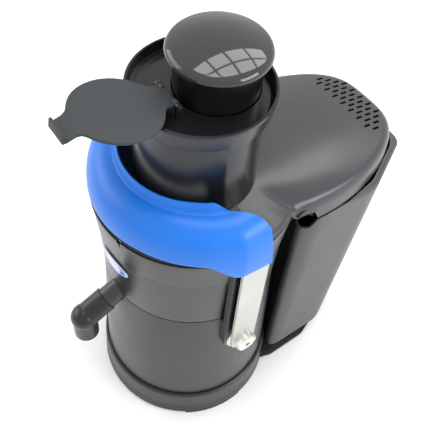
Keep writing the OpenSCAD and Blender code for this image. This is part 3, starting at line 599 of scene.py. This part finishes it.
def cover_top(r, reach, a):
    """Height of the cover's top: it falls away from the chute and is lightly crowned."""
    t = (r - CHUTE_R) / (reach - CHUTE_R)
    drop = mix(SIDE_DROP, BACK_DROP, ease((sind(a) - 0.3) / 0.6))
    crown = CROWN * math.sin(math.pi * min(1, max(0, t))) * ease((sind(a) - 0.45) / 0.4)
    fold = FOLD * ease(t / 0.8) * (1 - ease((r * sind(a) - 40) / 50))
    return COVER_HIGH_Z - drop * t + crown - fold * ease((reach - COVER_RIM_R) / 6)


def cover_low(y):
    """Height of the cover's lower edge: on the bowl's rim, round the pocket, then on the bin."""
    if y < POCKET_Y:
        share = ease((y - RIM_LEAVES_Y) / (POCKET_Y - RIM_LEAVES_Y))
        return mix(RIM_EDGE_Z, BIN_EDGE_Z - 1 + POCKET_R, share)
    over = POCKET_R ** 2 - (y - POCKET_Y) ** 2
    return max(BIN_EDGE_Z, BIN_EDGE_Z - 1 + math.sqrt(max(0.0, over)))


def cover_row(a, reach):
    """Profile of the cover at an angle, as (radius, height) from the chute out and down."""
    over_bin = ease((reach - COVER_RIM_R) / 9)
    blend = mix(RIM_ROUND, BIN_ROUND, over_bin)
    inner = max(CHUTE_R + 0.3, COVER_FRONT_Y / sind(a))
    flat_end = reach - blend
    row = []
    for i in range(TOP_STEPS + 1):
        r = mix(inner, flat_end, i / TOP_STEPS)
        row.append((r, cover_top(r, reach, a)))
    top = row[-1][1]
    slope = (row[-2][1] - top) / (row[-1][0] - row[-2][0])
    tilt = math.degrees(math.atan(slope))
    round_r = blend / (1 - sind(tilt))
    for i in range(1, BEND_STEPS + 1):
        bend = mix(tilt, 90, i / BEND_STEPS)
        row.append((flat_end + round_r * (sind(bend) - sind(tilt)),
                    top - round_r * (cosd(tilt) - cosd(bend))))
    edge_r, edge_z = row[-1]
    floor = min(cover_low(edge_r * sind(a)), edge_z - 0.4)
    for i in range(1, EDGE_STEPS + 1):
        row.append((edge_r + 0.8 * over_bin * i / EDGE_STEPS, mix(edge_z, floor, i / EDGE_STEPS)))
    return row


def make_cover():
    outline = plan_of(COVER_DISCS, 0.8)
    columns = 300
    first = math.degrees(math.asin(COVER_FRONT_Y / (COVER_RIM_R - 8)))
    exact = {a: max(COVER_RIM_R, ray_reach(outline, a)) for a in range(0, 181)}

    def reach_at(a):
        """Reach averaged over a few degrees, which rounds the corner where rim meets bin."""
        total, spread = 0.0, 6
        for d in range(-spread, spread + 1):
            b = min(180.0, max(0.0, a + d))
            k = min(179, int(b))
            total += mix(exact[k], exact[k + 1], b - k)
        return total / (2 * spread + 1)

    points = []
    for k in range(columns + 1):
        a = mix(first, 180 - first, k / columns)
        row = cover_row(a, reach_at(a))
        points += [place(r * cosd(a), r * sind(a), z) for r, z in row]
    count = len(row)
    faces = [(k * count + i, k * count + i + 1, (k + 1) * count + i + 1, (k + 1) * count + i)
             for k in range(columns) for i in range(count - 1)]
    cover = add_piece("vented_pulp_cover", points, faces, "machine", COVER,
                      ["pulp_cover"], 45, closed=False)
    thicken(cover, WALL)
    cutter = make_vents()
    cut = cover.modifiers.new("vents", "BOOLEAN")
    cut.object = cutter
    cut.operation = "DIFFERENCE"
    cut.solver = "EXACT"
    cut.use_self = True
    apply_modifiers(cover, 38)
    bpy.data.objects.remove(cutter)
    return cover


def make_pocket(side):
    """Scooped finger recess in the cover's side, above the front corner of the bin."""
    out = Vector((side * cosd(POCKET_TILT), sind(POCKET_TILT), 0))
    along = Vector((-side * sind(POCKET_TILT), cosd(POCKET_TILT), 0))
    middle = Vector((side * POCKET_X, POCKET_Y + 2, BIN_EDGE_Z - 2))
    points = []
    rounds, deeps = 28, 10
    for j in range(deeps + 1):
        u = 90 * j / deeps
        for i in range(rounds + 1):
            v = POCKET_SWEEP * i / rounds
            p = (middle + along * (POCKET_R - 2) * cosd(v) * cosd(u)
                 + Vector((0, 0, (POCKET_R + 2) * sind(v) * cosd(u))) - out * POCKET_DEEP * sind(u))
            points.append(place(p.x, p.y, p.z))
    n = rounds + 1
    faces = [(j * n + i, j * n + i + 1, (j + 1) * n + i + 1, (j + 1) * n + i)
             for j in range(deeps) for i in range(rounds)]
    pocket = add_piece("finger_pocket_%s" % ("right" if side > 0 else "left"), points, faces,
                       "machine", SHELL, closed=False)
    thicken(pocket, 0.8)


def make_vents():
    """Upright capsule prisms where the cover's slots go."""
    pitch_x, pitch_y, first_row = 12.8, 6.6, 220.5
    slot_l, slot_w = 9.0, 3.0
    counts = [5, 6, 7, 8, 7]
    sides, below, above = 20, 310, 345
    points, faces = [], []
    for row, number in enumerate(counts):
        for i in range(number):
            x = (i - (number - 1) / 2) * pitch_x
            y = first_row - row * pitch_y
            ring = []
            for k in range(sides):
                a = 360 * k / sides + 180 / sides
                shift = (slot_l - slot_w) / 2 * (1 if sind(a) > 0 else -1)
                ring.append((x + slot_w / 2 * cosd(a), y + shift + slot_w / 2 * sind(a)))
            start = len(points)
            points += [place(px, py, below) for px, py in ring]
            points += [place(px, py, above) for px, py in ring]
            n = len(ring)
            faces += [(start + k, start + (k + 1) % n, start + n + (k + 1) % n, start + n + k)
                      for k in range(n)]
            faces += [tuple(start + k for k in reversed(range(n))),
                      tuple(start + n + k for k in range(n))]
    mesh = bpy.data.meshes.new("vents")
    mesh.from_pydata([tuple(p) for p in points], [], faces)
    cutter = bpy.data.objects.new("vents", mesh)
    bpy.context.scene.collection.objects.link(cutter)
    return cutter


make_cover()
make_pocket(1)
make_pocket(-1)


# ---- pulp bin ----

def resample(run, count):
    """Points spaced evenly along an open run."""
    lengths = [0.0]
    for p, q in zip(run, run[1:]):
        lengths.append(lengths[-1] + math.hypot(q[0] - p[0], q[1] - p[1]))
    out, k = [], 0
    for i in range(count):
        want = lengths[-1] * i / (count - 1)
        while k < len(run) - 2 and lengths[k + 1] < want:
            k += 1
        t = (want - lengths[k]) / max(lengths[k + 1] - lengths[k], TINY)
        out.append(tuple(mix(run[k][n], run[k + 1][n], t) for n in range(2)))
    return out


def arc(centre, radius, start, end, steps):
    """Points round a centre from a start angle to an end angle, in degrees."""
    return [(centre[0] + radius * cosd(mix(start, end, i / steps)),
             centre[1] + radius * sind(mix(start, end, i / steps))) for i in range(steps + 1)]


def heading(dx, dy):
    return math.degrees(math.atan2(dy, dx)) % 360


def horn(run, mouth_r, tip_r):
    """Where a round tip touches both the outer run and the mouth: (rest of the run, tip)."""
    for i in range(1, len(run) - 1):
        dx, dy = run[i + 1][0] - run[i - 1][0], run[i + 1][1] - run[i - 1][1]
        length = math.hypot(dx, dy)
        centre = (run[i][0] - dy / length * tip_r, run[i][1] + dx / length * tip_r)
        if math.hypot(*centre) - mouth_r >= tip_r:
            break
    start = heading(-centre[0], -centre[1])
    end = heading(dy, -dx)
    if end < start:
        end += 360
    return run[i:], arc(centre, tip_r, start, end, 24)


BIN_NARROW, BIN_SHORT = 0.93, 0.86
BIN_FRONT_Y, BIN_MIDDLE_Y, BIN_REACH = 54.0, 150.0, 75.0
HORN_R = 7.5
DIP = 13.0


def bin_outline(k, mouth_r):
    """Plan of the bin at a height share k: hollowed round the machine, with rounded horns."""
    x_share, y_share = mix(BIN_NARROW, 1, k), mix(BIN_SHORT, 1, k)
    plan = [(x * x_share, BIN_FRONT_Y + (y - BIN_FRONT_Y) * y_share)
            for x, y in plan_of(BIN_DISCS, 0)]
    fine = []
    for p, q in zip(plan, plan[1:] + plan[:1]):
        steps = max(1, int(2 * math.hypot(q[0] - p[0], q[1] - p[1])))
        fine += [tuple(mix(p[n], q[n], i / steps) for n in range(2)) for i in range(steps)]
    half = [p for p in fine if math.hypot(*p) > mouth_r and p[0] >= 0]
    half.sort(key=lambda p: math.atan2(p[1], p[0]))
    run, tip = horn(half, mouth_r, HORN_R)
    right = tip[:-1] + resample(run, 90)
    left = [(-x, y) for x, y in reversed(right[:-1])]
    start, end = heading(*left[-1]), heading(*right[0])
    mouth = arc((0, 0), mouth_r, start, end, 60)[1:-1]
    return right + left + mouth


def shoulder(outline, t):
    """The rim's outline drawn in towards the cover's edge."""
    edge = plan_of(COVER_DISCS, -1.2)
    out = []
    for x, y in outline:
        r = math.hypot(x, y)
        near = min(r, ray_reach(edge, heading(x, y))) if y > 60 and r > COVER_RIM_R + 4 else r
        share = mix(1, near / r, t * ease((y - 60) / 16))
        out.append((x * share, y * share))
    return out


def shrink(outline, cut):
    """An outline drawn in towards the middle of the bin."""
    share = 1 - cut / BIN_REACH
    return [(x * share, BIN_MIDDLE_Y + (y - BIN_MIDDLE_Y) * share) for x, y in outline]


def dip(y, z):
    """How far the wall's upper part is drawn down at the front corners, under the finger recess."""
    return DIP * ease((93 - y) / 10) * ease((z - 230) / 60)


def make_bin():
    mouth_r = SKIRT_R + 1.6
    floor_r, rim_r = 14.0, 7.0
    levels = [(BIN_LOW + floor_r * (1 - cosd(a)), floor_r * (1 - sind(a)), 0)
              for a in range(0, 91, 10)]
    levels += [(mix(BIN_LOW + floor_r, BIN_RIM - rim_r, i / 36), 0.0, 0) for i in range(1, 37)]
    levels += [(BIN_RIM - rim_r * (1 - sind(a)), 0.0, 1 - cosd(a)) for a in range(10, 91, 10)]
    points = []
    for z, cut, t in levels:
        plan = bin_outline((z - BIN_LOW) / (BIN_RIM - BIN_LOW), mouth_r)
        ring = shoulder(shrink(plan, cut), t)
        points += [place(x, y, z - dip(y, z)) for x, y in ring]
    count = len(ring)
    faces = ring_faces(len(levels), count)
    middle = Vector((0, 0, 0))
    for p in points[:count]:
        middle += Vector(p) / count
    points.append(middle)
    faces += [(len(points) - 1, (i + 1) % count, i) for i in range(count)]
    pulp_bin = add_piece("pulp_bin_shell", points, faces, "bin", BIN,
                         ["pulp_bin"], 40, closed=False)
    thicken(pulp_bin, WALL)
    return pulp_bin


make_bin()


# ---- feed flap ----

FLAP_CENTRE, FLAP_R, FLAP_THICK, FLAP_TILT = 48.4, 38.6, 3.0, 9.0
TAB_W, TAB_L, TAB_BEND = 25.0, 13.0, 5.5
KNUCKLE_R, KNUCKLE_IN, KNUCKLE_OUT = 2.8, 8.2, 13.6


def flap_outline():
    """Half-plan of the flap from the tab's tip to the hinge."""
    join = math.degrees(math.asin((TAB_W / 2 + 5) / FLAP_R))
    far = FLAP_CENTRE + FLAP_R
    right = [(TAB_W / 2 - 3, far + TAB_L), (TAB_W / 2, far + TAB_L - 3),
             (TAB_W / 2, far + 2), (TAB_W / 2 + 1.5, far - 1.6)]
    for i in range(61):
        a = mix(90 - join, -60, i / 60)
        right.append((FLAP_R * cosd(a), FLAP_CENTRE + FLAP_R * sind(a)))
    right += [(KNUCKLE_OUT, 10.0), (KNUCKLE_OUT, 0.0)]
    return right


def add_plate(made):
    """The flap's disc and tab, with softened rims."""
    right = flap_outline()
    plan = right + [(-x, y) for x, y in reversed(right)]
    low = [made.verts.new((x, -y, -FLAP_THICK / 2)) for x, y in plan]
    face = made.faces.new(low)
    up = bmesh.ops.extrude_face_region(made, geom=[face])
    bmesh.ops.translate(made, vec=(0, 0, FLAP_THICK),
                        verts=[v for v in up["geom"] if isinstance(v, bmesh.types.BMVert)])
    rims = [e for e in made.edges if abs(e.verts[0].co.z - e.verts[1].co.z) < 1e-6]
    bmesh.ops.bevel(made, geom=rims, offset=0.8, segments=3, profile=0.5, affect="EDGES")


def add_lip(made):
    """The lip that stands up across the tab's tip."""
    lip = bmesh.ops.create_cube(made, size=1)["verts"]
    tip = FLAP_CENTRE + FLAP_R + TAB_L
    bmesh.ops.scale(made, vec=(TAB_W - 1.5, 2.6, 9.0), verts=lip)
    bmesh.ops.translate(made, vec=(0, -tip + 1.4, 2.4), verts=lip)
    lip_edges = list({e for v in lip for e in v.link_edges})
    bmesh.ops.bevel(made, geom=lip_edges, offset=1.0, segments=3, profile=0.5, affect="EDGES")


def add_knuckle(made, x0, x1):
    """A hinge knuckle along the pin between two places."""
    turn = Matrix.Translation(((x0 + x1) / 2, 0, 0)) @ Matrix.Rotation(math.radians(90), 4, "Y")
    knuckle = bmesh.ops.create_cone(made, cap_ends=True, segments=40, radius1=KNUCKLE_R,
                                    radius2=KNUCKLE_R, depth=x1 - x0, matrix=turn)["verts"]
    caps = [e for v in knuckle for e in v.link_edges if len(e.link_faces) == 2
            and max(len(f.verts) for f in e.link_faces) > 8]
    bmesh.ops.bevel(made, geom=list(set(caps)), offset=0.4, segments=2, affect="EDGES")


def make_flap():
    """Flat disc with a pull tab that bends down, a lip and two hinge knuckles."""
    made = bmesh.new()
    add_plate(made)
    add_lip(made)
    add_knuckle(made, -KNUCKLE_OUT, -KNUCKLE_IN)
    add_knuckle(made, KNUCKLE_IN, KNUCKLE_OUT)
    for v in made.verts:
        v.co.z -= TAB_BEND * ease((-82 - v.co.y) / 18)
    mesh = bpy.data.meshes.new("feed_flap_disc")
    made.transform(Matrix.Rotation(math.radians(-FLAP_TILT), 4, "X"))
    for v in made.verts:
        v.co = place(v.co.x, v.co.y + PIN_Y, v.co.z + PIN_Z)
    made.to_mesh(mesh)
    made.free()
    finish_mesh(mesh, 35)
    flap = bpy.data.objects.new("feed_flap_disc", mesh)
    bpy.context.scene.collection.objects.link(flap)
    mesh.materials.append(FLAP)
    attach(flap, "feed_flap")
    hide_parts("feed_lid")
    return flap


make_flap()


# ---- pusher cap ----

def make_cap():
    """Glossy cap: a round edge, then a shallow dome that is part of one sphere."""
    edge, slope = 8.0, 24.0
    edge_parts, dome_parts = 12, 40
    base = CAP_LOW + 0.5
    turn = 90 - slope
    join_r, join_z = CAP_R - edge * (1 - cosd(turn)), base + edge * sind(turn)
    sphere_r = join_r / sind(slope)
    outline = [(0.0, CAP_LOW + 5), (BARREL_R - 2.6, CAP_LOW + 5), (BARREL_R - 2.6, CAP_LOW + 2.4),
               (BARREL_R + 0.4, CAP_LOW + 2.4), (BARREL_R + 0.4, CAP_LOW + 0.6),
               (BARREL_R + 1, CAP_LOW), (CAP_R - 0.9, CAP_LOW), (CAP_R - 0.25, CAP_LOW + 0.15)]
    outline += [(CAP_R - edge * (1 - cosd(turn * i / edge_parts)),
                 base + edge * sind(turn * i / edge_parts)) for i in range(edge_parts + 1)]
    for i in range(dome_parts - 1, -1, -1):
        a = slope * i / dome_parts
        outline.append((sphere_r * sind(a), join_z + sphere_r * (cosd(a) - cosd(slope))))
    turns = 220
    points = [place(r * cosd(360 * k / turns), FEED_Y + r * sind(360 * k / turns), z)
              for k in range(turns) for r, z in outline]
    count = len(outline)
    faces = [(k * count + i, ((k + 1) % turns) * count + i, ((k + 1) % turns) * count + i + 1,
              k * count + i + 1) for k in range(turns) for i in range(count - 1)]
    return add_piece("pusher_cap_dome", points, faces, "pusher", GLOSS,
                     ["pusher_cap"], 55)


make_cap()


# ---- badge ----

BOWL_LOW_R, BOWL_HIGH_R, BOWL_HIGH_Z = 93.0, 96.5, 290.0


def make_badge():
    """Plain oval plaque: a pale field and a blue end inside a pale edge, bent round the bowl."""
    centre_x = 5.0
    half_w, half_h = BADGE_X - centre_x, (BADGE_HIGH - BADGE_LOW) / 2
    middle = (BADGE_HIGH + BADGE_LOW) / 2 - 1.0
    rings = [(1.0, 0.3), (1.0, 1.1), (0.96, 1.35), (0.86, 1.35), (0.84, 1.2), (0.6, 1.2),
             (0.3, 1.2), (0.02, 1.2)]
    columns = 120
    points = []
    for share, proud in rings:
        for k in range(columns):
            a = 360 * k / columns
            x = centre_x + half_w * share * cosd(a)
            z = middle + half_h * share * sind(a)
            up = (z - SEAM_Z) / (BOWL_HIGH_Z - SEAM_Z)
            wall = mix(BOWL_LOW_R, BOWL_HIGH_R, up) + proud
            points.append(place(x, -math.sqrt(wall ** 2 - x ** 2), z))
    faces = ring_faces(len(rings), columns)
    faces.append(tuple((len(rings) - 1) * columns + k for k in range(columns)))
    faces.append(tuple(reversed(range(columns))))
    badge = add_piece("plain_badge", points, faces, "machine", PALE,
                      ["front_badge"], 40)
    badge.data.materials.append(BLUE)
    for face in badge.data.polygons:
        corners = [badge.data.vertices[v].co for v in face.vertices]
        centre = sum(corners, Vector()) / len(corners)
        across = (centre.x / MM - centre_x) / half_w
        up = (centre.z / MM - middle) / half_h
        inside = math.hypot(across, up) < 0.85
        face.material_index = 1 if inside and across > 0.5 else 0
    return badge


make_badge()


# ---- stage, light and camera ----

def make_stage():
    size = 9.0
    mesh = bpy.data.meshes.new("floor")
    mesh.from_pydata([(-size, -size, 0), (size, -size, 0), (size, size, 0), (-size, size, 0)], [],
                     [(0, 1, 2, 3)])
    floor = bpy.data.objects.new("floor", mesh)
    bpy.context.scene.collection.objects.link(floor)
    paper = bpy.data.materials.new("floor_paper")
    paper.use_nodes = True
    shader = paper.node_tree.nodes["Principled BSDF"]
    shader.inputs["Base Color"].default_value = (0.88, 0.88, 0.88, 1)
    shader.inputs["Roughness"].default_value = 0.7
    mesh.materials.append(paper)


def add_light(name, size_x, size_y, where, target, watts, colour=(1, 1, 1)):
    data = bpy.data.lights.new(name, "AREA")
    data.shape = "RECTANGLE"
    data.size, data.size_y = size_x, size_y
    data.energy = watts
    data.color = colour
    light = bpy.data.objects.new(name, data)
    light.location = where
    aim = Vector(target) - Vector(where)
    light.rotation_euler = aim.to_track_quat("-Z", "Y").to_euler()
    bpy.context.scene.collection.objects.link(light)
    return light


# The overhead window whose panes the cap mirrors, in metres; its watts are per square metre.
PANE_ROWS = ((-0.27, 0.02), (0.06, 0.37), (0.42, 0.84), (0.9, 1.5))
PANE_COLUMNS = ((-0.36, -0.1), (-0.06, 0.18))
PANE_HIGH, PANE_WATTS = 1.55, 17.0


def make_light():
    world = bpy.data.worlds.new("studio")
    world.use_nodes = True
    world.node_tree.nodes["Background"].inputs["Color"].default_value = (0.97, 0.98, 1.0, 1)
    world.node_tree.nodes["Background"].inputs["Strength"].default_value = 1.1
    bpy.context.scene.world = world
    shift = AXIS_Y * MM
    high, watts = PANE_HIGH, PANE_WATTS
    for i, (y0, y1) in enumerate(PANE_ROWS):
        for j, (x0, x1) in enumerate(PANE_COLUMNS):
            x, y = (x0 + x1) / 2, (y0 + y1) / 2 + shift
            wide, deep = x1 - x0, y1 - y0
            add_light("overhead_%d_%d" % (i, j), wide, deep, (x, y, high), (x, y, 0),
                      watts * wide * deep)
    add_light("side_window", 1.8, 1.3, (-1.6, -1.4, 1.1), (0, 0, 0.25), 20, (1, 0.97, 0.93))
    add_light("far_window", 1.4, 1.0, (1.9, 0.9, 1.1), (0, 0.05, 0.25), 30, (0.96, 0.98, 1))


def make_camera():
    """The camera as fitted to the round edges in the photo."""
    data = bpy.data.cameras.new("camera")
    data.sensor_width = 36
    data.lens = 56.92
    data.shift_x, data.shift_y = 0.0349, -0.0698
    data.dof.use_dof = False
    camera = bpy.data.objects.new("camera", data)
    right = Vector((0.567, 0.8225, 0.0446)).normalized()
    back = Vector((0.5, -0.387, 0.775)).normalized()
    right = (right - back * right.dot(back)).normalized()
    up = back.cross(right)
    turn = Matrix((right, up, back)).transposed().to_4x4()
    camera.matrix_world = Matrix.Translation(place(336.5, -252.4, 840.4)) @ turn
    bpy.context.scene.collection.objects.link(camera)
    bpy.context.scene.camera = camera


make_stage()
make_light()
make_camera()
bpy.context.scene.view_settings.view_transform = "Standard"
